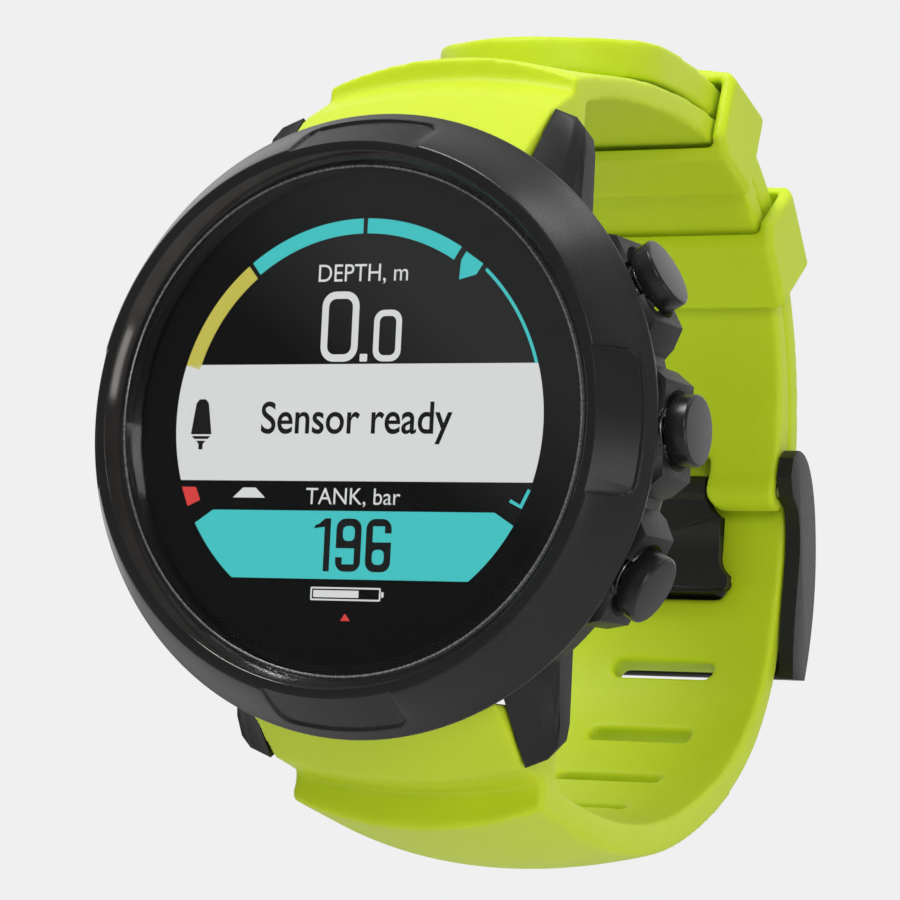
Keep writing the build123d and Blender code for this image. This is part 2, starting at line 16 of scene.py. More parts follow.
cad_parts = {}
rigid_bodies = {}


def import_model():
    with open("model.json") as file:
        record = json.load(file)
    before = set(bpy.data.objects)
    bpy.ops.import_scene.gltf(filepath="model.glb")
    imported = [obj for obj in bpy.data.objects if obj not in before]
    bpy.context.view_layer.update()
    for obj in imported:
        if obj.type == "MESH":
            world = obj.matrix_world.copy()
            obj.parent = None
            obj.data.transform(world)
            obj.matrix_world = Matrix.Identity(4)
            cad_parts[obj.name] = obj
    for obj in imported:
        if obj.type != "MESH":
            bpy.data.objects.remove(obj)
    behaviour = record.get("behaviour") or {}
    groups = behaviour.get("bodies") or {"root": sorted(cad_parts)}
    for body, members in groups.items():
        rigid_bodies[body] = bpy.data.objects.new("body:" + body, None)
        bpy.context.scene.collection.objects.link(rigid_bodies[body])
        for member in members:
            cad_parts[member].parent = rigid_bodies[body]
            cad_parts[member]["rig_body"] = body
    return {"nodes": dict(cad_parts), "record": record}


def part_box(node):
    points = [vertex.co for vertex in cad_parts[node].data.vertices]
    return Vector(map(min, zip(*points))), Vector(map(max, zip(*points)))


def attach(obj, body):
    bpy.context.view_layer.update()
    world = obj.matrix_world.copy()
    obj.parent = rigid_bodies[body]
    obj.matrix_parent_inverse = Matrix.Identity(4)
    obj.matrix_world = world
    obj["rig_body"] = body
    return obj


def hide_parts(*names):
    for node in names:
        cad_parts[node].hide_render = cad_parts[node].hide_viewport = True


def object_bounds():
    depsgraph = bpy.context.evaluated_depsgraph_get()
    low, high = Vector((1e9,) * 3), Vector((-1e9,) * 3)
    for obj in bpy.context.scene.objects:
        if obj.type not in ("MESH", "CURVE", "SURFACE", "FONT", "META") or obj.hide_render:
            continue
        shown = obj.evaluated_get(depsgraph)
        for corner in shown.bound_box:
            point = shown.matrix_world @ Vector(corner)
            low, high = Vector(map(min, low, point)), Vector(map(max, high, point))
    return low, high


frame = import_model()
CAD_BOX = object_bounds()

MM = 0.001
NOISE_LOW, NOISE_HIGH = 0.3, 0.7    # most of a noise texture's values lie between these
MERGE_MM = 0.002                    # points of a CAD mesh closer than this are one point
FLAT_DEGREES = 0.3                  # faces that meet at less than this are one face
FINE_STEPS = 256                    # facets round the bezel and the glass
Colour = tuple[float, float, float]
Outline = list[tuple[float, float]]
log = logging.getLogger("dive_computer")


# ---------------------------------------------------------------- finishes

class Nodes:
    """Small helper that adds shader nodes and joins them."""

    def __init__(self, name: str) -> None:
        """Start an empty node material with one Principled shader.

        Args:
            name: the material's name.
        """
        self.material = bpy.data.materials.new(name)
        self.material.use_nodes = True
        self.tree = self.material.node_tree
        self.shader = self.tree.nodes["Principled BSDF"]
        self.place = self.tree.nodes.new("ShaderNodeTexCoord").outputs["Object"]

    def add(self, kind: str, inputs: Optional[dict] = None, **settings: object) -> bpy.types.Node:
        """Add a node.

        Args:
            kind: the node's type after "ShaderNode".
            inputs: socket name to a value, or to another node's output socket.
            **settings: properties of the node itself.

        Returns:
            The new node.
        """
        node = self.tree.nodes.new("ShaderNode" + kind)
        for key, value in settings.items():
            setattr(node, key, value)
        for key, value in (inputs or {}).items():
            if isinstance(value, bpy.types.NodeSocket):
                self.tree.links.new(value, node.inputs[key])
            else:
                node.inputs[key].default_value = value
        return node

    def noise(self, size_mm: float, detail: float = 3.0,
              stretch: Optional[Colour] = None) -> bpy.types.NodeSocket:
        """Noise on object coordinates.

        Args:
            size_mm: size of one grain.
            detail: octaves of finer noise.
            stretch: optional scale of the pattern along X, Y and Z.

        Returns:
            The factor socket, 0 to 1.
        """
        place = self.place
        if stretch:
            place = self.add("Mapping", {"Vector": place, "Scale": stretch}).outputs["Vector"]
        node = self.add("TexNoise", {"Vector": place, "Scale": 1 / (size_mm * MM), "Detail": detail})
        return node.outputs["Fac"]

    def span(self, factor: bpy.types.NodeSocket, low: float, high: float) -> bpy.types.NodeSocket:
        """Map a noise factor onto a range of values."""
        node = self.add("MapRange", {"Value": factor, "From Min": NOISE_LOW, "From Max": NOISE_HIGH,
                                     "To Min": low, "To Max": high})
        return node.outputs["Result"]

    def tint(self, factor: bpy.types.NodeSocket, dark: Colour, light: Colour) -> bpy.types.NodeSocket:
        """Blend two colours by a factor.

        Args:
            factor: the factor's socket.
            dark: colour up to the low end of the noise range.
            light: colour from its high end.

        Returns:
            The colour socket.
        """
        ramp = self.add("ValToRGB", {"Fac": factor})
        first, last = ramp.color_ramp.elements[0], ramp.color_ramp.elements[1]
        first.position, first.color = NOISE_LOW, (*dark, 1)
        last.position, last.color = NOISE_HIGH, (*light, 1)
        return ramp.outputs["Color"]

    def bump(self, height: bpy.types.NodeSocket, depth_mm: float) -> None:
        """Give the shader a surface relief of a real depth."""
        node = self.add("Bump", {"Height": height, "Distance": depth_mm * MM, "Strength": 1.0})
        self.tree.links.new(node.outputs["Normal"], self.shader.inputs["Normal"])

    def drive(self, socket: str, value: bpy.types.NodeSocket) -> None:
        """Join a socket to the shader."""
        self.tree.links.new(value, self.shader.inputs[socket])

    def fix(self, **values: object) -> None:
        """Set constants on the shader's own sockets, named with underscores for spaces."""
        for key, value in values.items():
            self.shader.inputs[key.replace("_", " ")].default_value = value


@dataclass(frozen=True)
class Moulded:
    """A moulded plastic, rubber or silicone with a fine grain."""

    name: str
    dark: Colour
    light: Colour
    roughness: tuple[float, float]
    grain_mm: float = 0.12
    relief_mm: float = 0.004
    patch_mm: float = 9.0
    specular: float = 0.5
    sheen: float = 0.0
    glow_depth_mm: float = 0.0

    def build(self) -> bpy.types.Material:
        """Make the material."""
        nodes = Nodes(self.name)
        patch = nodes.noise(self.patch_mm)
        grain = nodes.noise(self.grain_mm, detail=2.0)
        nodes.drive("Base Color", nodes.tint(patch, self.dark, self.light))
        nodes.drive("Roughness", nodes.span(grain, *self.roughness))
        nodes.bump(grain, self.relief_mm)
        nodes.fix(Specular_IOR_Level=self.specular, Sheen_Weight=self.sheen)
        if self.glow_depth_mm:
            nodes.fix(Subsurface_Weight=0.35, Subsurface_Scale=self.glow_depth_mm * MM)
            nodes.fix(Subsurface_Radius=(1.0, 1.0, 0.25))
        return nodes.material


@dataclass(frozen=True)
class Machined:
    """Metal with fine tool marks along one axis, or a dark coating over it."""

    name: str
    dark: Colour
    light: Colour
    roughness: tuple[float, float]
    metallic: float = 1.0
    marks_mm: float = 0.05
    stretch: Colour = (0.04, 1.0, 1.0)
    relief_mm: float = 0.0015
    specular: float = 0.5
    coat: float = 0.0

    def build(self) -> bpy.types.Material:
        """Make the material."""
        nodes = Nodes(self.name)
        marks = nodes.noise(self.marks_mm, detail=2.0, stretch=self.stretch)
        wear = nodes.noise(3.5, detail=5.0)
        nodes.drive("Base Color", nodes.tint(wear, self.dark, self.light))
        nodes.drive("Roughness", nodes.span(marks, *self.roughness))
        nodes.bump(marks, self.relief_mm)
        nodes.fix(Metallic=self.metallic, Specular_IOR_Level=self.specular)
        nodes.fix(Coat_Weight=self.coat, Coat_Roughness=0.12)
        return nodes.material


@dataclass(frozen=True)
class ClearGlass:
    """Flat watch glass with a faint smear; its low index stands for an anti-reflection coating."""

    name: str

    def build(self) -> bpy.types.Material:
        """Make the material."""
        nodes = Nodes(self.name)
        smear = nodes.noise(6.0, detail=4.0)
        nodes.drive("Roughness", nodes.span(smear, 0.0, 0.025))
        nodes.fix(Base_Color=(0.93, 0.95, 0.95, 1), Transmission_Weight=1.0)
        nodes.fix(IOR=1.2, Specular_IOR_Level=0.10)
        return nodes.material


@dataclass(frozen=True)
class Lit:
    """Self-lit colour of the screen, with the faint grid of its picture elements."""

    name: str
    colour: Colour
    strength: float = 1.0
    pitch_mm: float = 0.11

    def build(self) -> bpy.types.Material:
        """Make the material."""
        nodes = Nodes(self.name)
        mapping = nodes.add("Mapping", {"Vector": nodes.place, "Rotation": (math.pi / 2, 0, 0)})
        cells = nodes.add("TexChecker", {
            "Vector": mapping.outputs["Vector"], "Scale": 1 / (self.pitch_mm * MM)})
        cells.inputs["Color1"].default_value = (*self.colour, 1)
        cells.inputs["Color2"].default_value = (*[0.93 * c for c in self.colour], 1)
        nodes.drive("Emission Color", cells.outputs["Color"])
        nodes.fix(Base_Color=(0.01, 0.01, 0.01, 1), Emission_Strength=self.strength)
        nodes.fix(Roughness=0.6, Specular_IOR_Level=0.0)
        return nodes.material


@dataclass(frozen=True)
class PaintedReflection:
    """Dark part of the screen with a painted reflection that lightens towards one side.

    The faint emission stands for light that the glass would catch, so it stays where it is when the
    watch is seen from elsewhere.
    """

    name: str
    dark: float
    light: float
    low_mm: float
    high_mm: float

    def build(self) -> bpy.types.Material:
        """Make the material."""
        nodes = Nodes(self.name)
        turn = nodes.add("Mapping", {"Vector": nodes.place, "Rotation": (0.0, math.radians(-38), 0.0)})
        parts = nodes.add("SeparateXYZ", {"Vector": turn.outputs["Vector"]})
        ramp = nodes.add("MapRange", {
            "Value": parts.outputs["Z"], "From Min": self.low_mm * MM, "From Max": self.high_mm * MM})
        # painted reflection: the emission runs from dark to light along a tilted axis, lighter towards 12
        # o'clock and the pusher side
        painted_reflection = nodes.tint(ramp.outputs["Result"], (self.dark,) * 3, (self.light,) * 3)
        nodes.drive("Base Color", nodes.tint(nodes.noise(8.0), (0.0015,) * 3, (0.002,) * 3))
        nodes.drive("Emission Color", painted_reflection)
        nodes.fix(Emission_Strength=1.0, Roughness=0.3, Specular_IOR_Level=0.1)
        return nodes.material


@dataclass(frozen=True)
class Circuit:
    """Solder-masked board with faint copper tracks."""

    name: str

    def build(self) -> bpy.types.Material:
        """Make the material."""
        nodes = Nodes(self.name)
        tracks = nodes.add("TexBrick", {"Vector": nodes.place, "Scale": 700.0, "Mortar Size": 0.04})
        tracks.inputs["Color1"].default_value = (0.006, 0.09, 0.035, 1)
        tracks.inputs["Color2"].default_value = (0.008, 0.11, 0.045, 1)
        tracks.inputs["Mortar"].default_value = (0.05, 0.2, 0.06, 1)
        nodes.drive("Base Color", tracks.outputs["Color"])
        nodes.drive("Roughness", nodes.span(nodes.noise(0.4), 0.25, 0.45))
        return nodes.material


class Finish(Enum):
    """Every finish on the watch; the value says how it is made."""

    SILICONE = Moulded("lime_silicone", (0.55, 0.69, 0.008), (0.59, 0.74, 0.010), (0.42, 0.58),
                       grain_mm=0.10, relief_mm=0.003, patch_mm=14.0, specular=0.35, sheen=0.05,
                       glow_depth_mm=1.2)
    COMPOSITE = Moulded("black_composite", (0.006, 0.006, 0.0065), (0.009, 0.009, 0.0095), (0.40, 0.56),
                        specular=0.35, grain_mm=0.14, relief_mm=0.005, patch_mm=5.0)
    SEAL = Moulded("seal_rubber", (0.010, 0.010, 0.010), (0.016, 0.016, 0.016), (0.55, 0.70))
    FRAME = Moulded("frame_plastic", (0.05, 0.05, 0.055), (0.07, 0.07, 0.075), (0.45, 0.60))
    COATING = Machined("black_coating", (0.010, 0.0096, 0.0092), (0.013, 0.0124, 0.012), (0.25, 0.31),
                       metallic=0.25, specular=0.42, marks_mm=0.12, stretch=(1, 1, 1), relief_mm=0.0006)
    BUCKLE = Moulded("buckle_black", (0.008, 0.008, 0.0085), (0.012, 0.012, 0.0125), (0.34, 0.46),
                     grain_mm=0.2, relief_mm=0.001, specular=0.35)
    # painted highlight: a grey metallic finish for the ring that stands for light caught by the glass's
    # bevel; lamps still shade it
    GROUND_EDGE = Machined("glass_edge_highlight", (0.22, 0.22, 0.22), (0.27, 0.27, 0.27), (0.22, 0.32),
                           metallic=0.6, marks_mm=0.2, stretch=(1, 1, 1))
    POLISHED = Machined("polished_black", (0.030, 0.028, 0.026), (0.045, 0.042, 0.040), (0.10, 0.16),
                        metallic=0.7, relief_mm=0.0005)
    STEEL = Machined("brushed_steel", (0.47, 0.47, 0.48), (0.51, 0.51, 0.52), (0.26, 0.38))
    BRASS = Machined("gilt_contact", (0.65, 0.47, 0.20), (0.82, 0.62, 0.30), (0.18, 0.30))
    CELL = Machined("cell_foil", (0.45, 0.45, 0.47), (0.60, 0.60, 0.62), (0.30, 0.50), stretch=(1, 1, 0.1))
    GLASS = ClearGlass("watch_glass")
    BOARD = Circuit("circuit_board")
    # painted reflection: both dark screen finishes carry a faint emission gradient that stands for light
    # caught by the glass
    SCREEN_BLACK = PaintedReflection("screen_black_painted_reflection", 0.0002, 0.014, -6.0, 22.0)
    LIT_DARK = PaintedReflection("screen_dark_painted_reflection", 0.0002, 0.022, -8.0, 20.0)
    LIT_WHITE = Lit("lit_white", (0.74, 0.74, 0.74))
    LIT_TEAL = Lit("lit_teal", (0.064, 0.57, 0.57))
    LIT_YELLOW = Lit("lit_yellow", (0.58, 0.52, 0.085))
    LIT_RED = Lit("lit_red", (0.72, 0.055, 0.05))
    LIT_INK = Lit("lit_ink", (0.006, 0.006, 0.006))


_made: dict[Finish, bpy.types.Material] = {}


def material(finish: Finish) -> bpy.types.Material:
    """Return the finish's material, made once."""
    if finish not in _made:
        _made[finish] = finish.value.build()
    return _made[finish]


# ---------------------------------------------------------------- modelling tools

def deselect() -> None:
    """Leave nothing selected, so that an operator acts only on what comes next."""
    if bpy.context.object and bpy.context.object.mode != "OBJECT":
        bpy.ops.object.mode_set(mode="OBJECT")
    bpy.ops.object.select_all(action="DESELECT")


def make_active(piece: bpy.types.Object) -> None:
    """Select one object and make it the active one.

    Args:
        piece: the object to select.
    """
    deselect()
    piece.select_set(True)
    bpy.context.view_layer.objects.active = piece


def apply_place(piece: bpy.types.Object) -> None:
    """Put an object's place, turn and scale into its mesh."""
    make_active(piece)
    bpy.ops.object.transform_apply(location=True, rotation=True, scale=True)


def apply_modifier(piece: bpy.types.Object, kind: str, **settings: object) -> None:
    """Add a modifier and apply it.

    Args:
        piece: the object to change.
        kind: the modifier's type.
        **settings: its properties.
    """
    make_active(piece)
    modifier = piece.modifiers.new(kind.lower(), kind)
    for key, value in settings.items():
        setattr(modifier, key, value)
    bpy.ops.object.modifier_apply(modifier=modifier.name)


def close_up(piece: bpy.types.Object, tolerance_mm: float = 0.001) -> None:
    """Merge double points and turn every face outwards.

    Args:
        piece: the object to change.
        tolerance_mm: points closer than this are merged.
    """
    make_active(piece)
    bpy.ops.object.mode_set(mode="EDIT")
    bpy.ops.mesh.select_all(action="SELECT")
    bpy.ops.mesh.remove_doubles(threshold=tolerance_mm * MM)
    bpy.ops.mesh.normals_make_consistent(inside=False)
    bpy.ops.object.mode_set(mode="OBJECT")


def shade(piece: bpy.types.Object, angle: float = 32.0) -> None:
    """Smooth shading that keeps edges sharper than an angle in degrees."""
    make_active(piece)
    bpy.ops.object.shade_smooth_by_angle(angle=math.radians(angle))


def soften(piece: bpy.types.Object, width_mm: float, segments: int = 3, angle: float = 28.0) -> None:
    """Round off every edge sharper than an angle.

    Args:
        piece: the object to change.
        width_mm: width of the rounding.
        segments: facets across it.
        angle: edges flatter than this many degrees stay as they are.
    """
    apply_modifier(piece, "BEVEL", width=width_mm * MM, segments=segments, limit_method="ANGLE",
                   angle_limit=math.radians(angle), harden_normals=False, miter_outer="MITER_ARC")


def dress(piece: bpy.types.Object, finish: Finish, slot: str, body: str, *nodes: str) -> bpy.types.Object:
    """Give a finished piece its material and body.

    Args:
        piece: the finished object.
        finish: what it is made of.
        slot: the record's material slot; not used.
        body: the CAD body that it moves with.
        *nodes: CAD nodes that it stands for.

    Returns:
        The piece.
    """
    if not piece.data.materials:
        piece.data.materials.append(material(finish))
    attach(piece, body)
    if nodes:
        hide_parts(*nodes)
    log.info("%s: %d faces, rides on %s", piece.name, len(piece.data.polygons), body)
    return piece


def body_of_node(node: str) -> str:
    """Name of the CAD body that a node belongs to."""
    return frame["nodes"][node]["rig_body"]


def slot_of_node(node: str) -> str:
    """The record's material slot of a CAD node."""
    return next(part["material_slot"] for part in frame["record"]["subparts"] if part["node"] == node)


def refined_copy(node: str, width_mm: float, clearance_mm: float = 0.0, segments: int = 3,
                 angle: float = 28.0) -> bpy.types.Object:
    """Copy a CAD node's shape and round off its edges.

    Args:
        node: the CAD node.
        width_mm: width of the rounding.
        clearance_mm: how much the surface is drawn in, so that a moving piece runs free.
        segments: facets across it.
        angle: edges flatter than this many degrees stay as they are.

    Returns:
        The new piece, at the node's place.
    """
    piece = bpy.data.objects.new(node + "_piece", frame["nodes"][node].data.copy())
    bpy.context.scene.collection.objects.link(piece)
    piece.data.materials.clear()
    make_active(piece)
    bpy.ops.object.mode_set(mode="EDIT")
    bpy.ops.mesh.select_all(action="SELECT")
    bpy.ops.mesh.remove_doubles(threshold=MERGE_MM * MM)
    bpy.ops.mesh.dissolve_limited(angle_limit=math.radians(FLAT_DEGREES))
    bpy.ops.object.mode_set(mode="OBJECT")
    soften(piece, width_mm, segments, angle)
    if clearance_mm:
        apply_modifier(piece, "DISPLACE", strength=-clearance_mm * MM, mid_level=0.0)
    shade(piece)
    return piece


def moulded_copy(node: str, voxel_mm: float, rounds: int) -> bpy.types.Object:
    """Copy a CAD node's shape with the soft edges of moulded silicone.

    Args:
        node: the CAD node.
        voxel_mm: size of the cells that the surface is rebuilt with.
        rounds: how many times the surface is relaxed.

    Returns:
        The new piece, at the node's place.
    """
    piece = bpy.data.objects.new(node + "_piece", frame["nodes"][node].data.copy())
    bpy.context.scene.collection.objects.link(piece)
    piece.data.materials.clear()
    close_up(piece, MERGE_MM)
    apply_modifier(piece, "REMESH", mode="VOXEL", voxel_size=voxel_mm * MM)
    apply_modifier(piece, "SMOOTH", factor=0.5, iterations=rounds)
    shade(piece, 60.0)
    return piece


def spun(name: str, profile: Sequence[tuple[float, float]], steps: int = 192) -> bpy.types.Object:
    """Spin a profile round the watch's centre line.

    Args:
        name: the new piece's name.
        profile: (radius, y) points in mm, as an open chain.
        steps: facets round the circle.

    Returns:
        The new piece.
    """
    deselect()
    bpy.ops.mesh.primitive_circle_add(vertices=3, radius=1 * MM)
    piece = bpy.context.object
    piece.name = name
    piece.data.clear_geometry()
    points = [(radius * MM, y * MM, 0.0) for radius, y in profile]
    piece.data.from_pydata(points, [(i, i + 1) for i in range(len(points) - 1)], [])
    bpy.ops.object.mode_set(mode="EDIT")
    bpy.ops.mesh.select_all(action="SELECT")
    bpy.ops.mesh.spin(steps=steps, angle=2 * math.pi, center=(0, 0, 0), axis=(0, 1, 0))
    bpy.ops.object.mode_set(mode="OBJECT")
    close_up(piece)
    return piece


# ---------------------------------------------------------------- screen graphics

def arc_points(radius: float, start: float, end: float, count: int = 24) -> Outline:
    """Points on an arc round the screen's centre, with angles in degrees from +X."""
    angles = [math.radians(start + (end - start) * i / (count - 1)) for i in range(count)]
    return [(radius * math.cos(a), radius * math.sin(a)) for a in angles]


def ring_sector(inner: float, outer: float, start: float, end: float) -> Outline:
    """Outline of a band between two radii and two angles."""
    return arc_points(outer, start, end) + arc_points(inner, end, start)


def round_box(left: float, low: float, right: float, high: float, radius: float, count: int = 7) -> Outline:
    """Rectangle with rounded corners.

    Args:
        left, low, right, high: its edges in mm.
        radius: radius of the corners.
        count: points along each corner.

    Returns:
        The outline, anticlockwise.
    """
    outline: Outline = []
    corners = ((right, high, 0), (left, high, 90), (left, low, 180), (right, low, 270))
    for x, z, start in corners:
        cx = x - math.copysign(radius, x - (left + right) / 2)
        cz = z - math.copysign(radius, z - (low + high) / 2)
        for i in range(count):
            a = math.radians(start + 90 * i / (count - 1))
            outline.append((cx + radius * math.cos(a), cz + radius * math.sin(a)))
    return outline


def band_across(radius: float, low: float, high: float) -> Outline:
    """Part of a disc between two heights.

    Args:
        radius: radius of the disc in mm.
        low, high: the two heights.

    Returns:
        The outline.
    """
    a_high = math.degrees(math.asin(high / radius))
    a_low = math.degrees(math.asin(low / radius))
    return arc_points(radius, a_low, a_high) + arc_points(radius, 180 - a_high, 180 - a_low)


@dataclass
class ScreenGraphics:
    """Everything that the screen shows, as thin lit pieces on the display panel."""

    active_radius: float = 17.22
    ring_inner: float = 15.95
    band_low: float = -4.97
    band_high: float = 4.90
    tank_high: float = -7.47
    layer_step: float = 0.012
    body: str = "watch"
    slot: str = "screen"
    face_y: float = field(init=False)

    def __post_init__(self) -> None:
        """Read the display panel's front face from the frame."""
        self.face_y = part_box("display_panel")[0].y / MM

    def place(self, piece: bpy.types.Object, name: str, finish: Finish, layer: int) -> bpy.types.Object:
        """Turn a flat shape onto the screen.

        Args:
            piece: a flat object drawn in the XY plane, in metres.
            name: its new name.
            finish: its lit colour.
            layer: how many steps in front of the panel it lies.

        Returns:
            The placed piece.
        """
        make_active(piece)
        bpy.ops.object.convert(target="MESH")
        piece = bpy.context.object
        piece.name = name
        front = self.face_y - layer * self.layer_step
        piece.matrix_world = Matrix.Translation((0, front * MM, 0)) @ Matrix.Rotation(math.pi / 2, 4, "X")
        apply_place(piece)
        close_up(piece, 0.0005)
        return dress(piece, finish, self.slot, self.body)

    def shape(self, name: str, outlines: Iterable[Outline], finish: Finish,
              layer: int = 2) -> bpy.types.Object:
        """Draw a filled shape; an outline inside another one is a hole.

        Args:
            name: the piece's name.
            outlines: closed outlines as (x, z) points in mm.
            finish: its lit colour.
            layer: how many steps in front of the panel it lies.

        Returns:
            The new piece.
        """
        curve = bpy.data.curves.new(name, "CURVE")
        curve.dimensions = "2D"
        curve.fill_mode = "BOTH"
        curve.extrude = 0.4 * self.layer_step * MM
        for outline in outlines:
            spline = curve.splines.new("POLY")
            spline.points.add(len(outline) - 1)
            for point, (x, z) in zip(spline.points, outline):
                point.co = (x * MM, z * MM, 0, 1)
            spline.use_cyclic_u = True
        piece = bpy.data.objects.new(name, curve)
        bpy.context.scene.collection.objects.link(piece)
        return self.place(piece, name, finish, layer)

    def words(self, name: str, text: str, box: tuple[float, float, float, float], finish: Finish,
              layer: int = 3, weight: float = 0.0) -> bpy.types.Object:
        """Write a line of text that fills a box.

        Args:
            name: the piece's name.
            text: the words.
            box: left, low, right and high edges in mm.
            finish: its lit colour.
            layer: how many steps in front of the panel it lies.
            weight: stroke change in mm, at the text's own size.

        Returns:
            The new piece.
        """
        deselect()
        bpy.ops.object.text_add()
        piece = bpy.context.object
        piece.data.body = text
        piece.data.size = 1.0
        piece.data.offset = weight
        bpy.ops.object.convert(target="MESH")
        piece = bpy.context.object
        left, low, right, high = box
        xs = [v.co.x for v in piece.data.vertices]
        ys = [v.co.y for v in piece.data.vertices]
        scale_x = (right - left) * MM / (max(xs) - min(xs))
        scale_y = (high - low) * MM / (max(ys) - min(ys))
        for v in piece.data.vertices:
            v.co.x = left * MM + (v.co.x - min(xs)) * scale_x
            v.co.y = low * MM + (v.co.y - min(ys)) * scale_y
        return self.place(piece, name, finish, layer)

    def digit_zero(self, left: float, low: float, right: float, high: float,
                   stroke: float) -> list[Outline]:
        """Outlines of a narrow zero.

        Args:
            left, low, right, high: its edges in mm.
            stroke: width of the line.

        Returns:
            The outer and the inner outline.
        """
        corner = 0.36 * (right - left)
        inner = round_box(left + stroke, low + stroke, right - stroke, high - stroke, 0.55 * corner)
        return [round_box(left, low, right, high, corner), inner]

    def build(self) -> None:
        """Draw the gauge, the message band, the tank panel and the battery."""
        # the dark screen disc carries the painted reflection of the glass
        self.shape("screen_area", [arc_points(self.active_radius + 0.03, 0, 357, 120)], Finish.LIT_DARK, 1)
        self.build_gauge()
        self.build_depth()
        self.build_band()
        self.build_tank()

    def build_gauge(self) -> None:
        """Arc of the ascent-rate gauge with its marker."""
        outer, inner = self.active_radius, self.ring_inner
        self.shape("gauge_yellow", [ring_sector(inner - 0.1, outer, 163.6, 129.3)], Finish.LIT_YELLOW)
        self.shape("gauge_teal_left", [ring_sector(inner, outer, 127.9, 90.7)], Finish.LIT_TEAL)
        self.shape("gauge_teal_right", [ring_sector(inner, outer, 89.3, 58.3)], Finish.LIT_TEAL)
        self.shape("gauge_thin", [ring_sector(outer - 0.28, outer, 48.2, 16.7)], Finish.LIT_TEAL)
        marker = [(9.5, 14.25), (11.1, 13.2), (10.5, 12.3), (8.95, 11.9), (9.05, 13.5)]
        self.shape("gauge_marker", [marker], Finish.LIT_TEAL)

    def build_depth(self) -> None:
        """Depth reading with its unit."""
        self.words("depth_label", "DEPTH, m", (-4.2, 11.65, 4.2, 13.35), Finish.LIT_WHITE)
        self.shape("depth_whole", self.digit_zero(-3.7, 5.1, -0.2, 11.05, 0.62), Finish.LIT_WHITE)
        self.shape("depth_tenth", self.digit_zero(1.25, 5.1, 3.85, 9.45, 0.52), Finish.LIT_WHITE)
        self.shape("depth_point", [round_box(0.05, 5.1, 0.75, 5.75, 0.08)], Finish.LIT_WHITE)

    def build_band(self) -> None:
        """White message band with a sensor symbol."""
        self.shape("message_band", [band_across(self.active_radius, self.band_low, self.band_high)],
                   Finish.LIT_WHITE, 2)
        self.words("message_words", "Sensor ready", (-9.0, -1.85, 8.95, 1.75), Finish.LIT_INK, weight=0.012)
        head = [(-15.75, -1.05), (-15.35, 1.6), (-15.05, 1.95),
                (-14.45, 1.95), (-14.15, 1.6), (-13.75, -1.05)]
        collar = [(-15.65, -1.2), (-13.85, -1.2), (-14.1, -1.45), (-15.4, -1.45)]
        tail = [(-15.2, -1.6), (-14.3, -1.6), (-14.55, -1.9),
                (-14.55, -2.35), (-14.95, -2.35), (-14.95, -1.9)]
        self.shape("sensor_symbol", [head, collar, tail], Finish.LIT_INK, 3)

    def build_tank(self) -> None:
        """Tank pressure panel, its marks and the battery gauge."""
        red = [(-16.35, -5.55), (-15.0, -5.55), (-14.5, -6.65), (-15.7, -7.2)]
        self.shape("low_mark", [red], Finish.LIT_RED)
        surface = [(-10.4, -5.57), (-9.2, -5.57), (-8.25, -6.42), (-11.35, -6.42)]
        self.shape("surface_mark", [surface], Finish.LIT_WHITE)
        tick = [(14.6, -6.35), (15.45, -6.8), (16.1, -5.5), (16.35, -5.62), (15.62, -7.15), (14.45, -6.6)]
        self.shape("check_mark", [tick], Finish.LIT_TEAL)
        self.words("tank_label", "TANK, bar", (-4.35, -7.15, 4.5, -5.55), Finish.LIT_WHITE)
        panel = [(-8.3, self.tank_high), (13.2, self.tank_high), (14.95, -8.55)]
        panel += arc_points(self.active_radius, -30.5, -50.0, 9)
        panel += arc_points(self.active_radius, -130.0, -149.5, 9)
        panel += [(-14.9, -8.62), (-13.2, self.tank_high)]
        self.shape("tank_panel", [panel], Finish.LIT_TEAL)
        self.build_number()
        case = [round_box(-3.47, -14.98, 3.1, -13.86, 0.12), round_box(-3.33, -14.84, 2.96, -14.0, 0.05)]
        self.shape("battery_outline", case + [round_box(3.16, -14.65, 3.38, -14.2, 0.05)], Finish.LIT_WHITE)
        self.shape("battery_level", [round_box(-3.2, -14.72, 1.05, -14.12, 0.03)], Finish.LIT_WHITE)
        self.shape("six_mark", [[(-0.12, -16.05), (-0.56, -16.66), (0.36, -16.66)]], Finish.LIT_RED)

    def build_number(self) -> None:
        """Tank pressure in bar, in narrow figures."""
        low, high, stroke = -12.55, -8.1, 0.62
        self.shape("number_one", [[(-3.45, high - 0.85), (-2.4, high), (-1.85, high), (-1.85, low),
                                   (-2.42, low), (-2.42, high - 0.72), (-3.2, high - 0.28 - 0.2)]],
                   Finish.LIT_INK, 3)
        self.shape("number_nine", self.loop_digit(-1.3, 1.05, low, high, stroke, False), Finish.LIT_INK, 3)
        self.shape("number_six", self.loop_digit(1.5, 3.85, low, high, stroke, True), Finish.LIT_INK, 3)

    def loop_digit(self, left: float, right: float, low: float, high: float, stroke: float,
                   upside_down: bool) -> list[Outline]:
        """Outlines of a narrow nine, or of a six when turned upside down.

        Args:
            left, right, low, high: its edges in mm.
            stroke: width of the line.
            upside_down: turn the nine into a six.

        Returns:
            The outer outline and that of the eye.
        """
        corner, middle = 0.36 * (right - left), low + 0.44 * (high - low)
        outer = round_box(left, low, right, high, corner)
        eye = round_box(left + stroke, middle + stroke, right - stroke, high - stroke, 0.5 * corner)
        notch_high, notch_low = middle, low + 0.27 * (high - low)
        notch = [(left - 0.01, notch_high), (right - stroke, notch_high), (right - stroke, low + stroke),
                 (left + stroke, low + stroke), (left + stroke, notch_low), (left - 0.01, notch_low)]
        outlines = [self.cut_left(outer, notch), eye]
        if upside_down:
            outlines = [[(left + right - x, low + high - z) for x, z in outline] for outline in outlines]
        return outlines

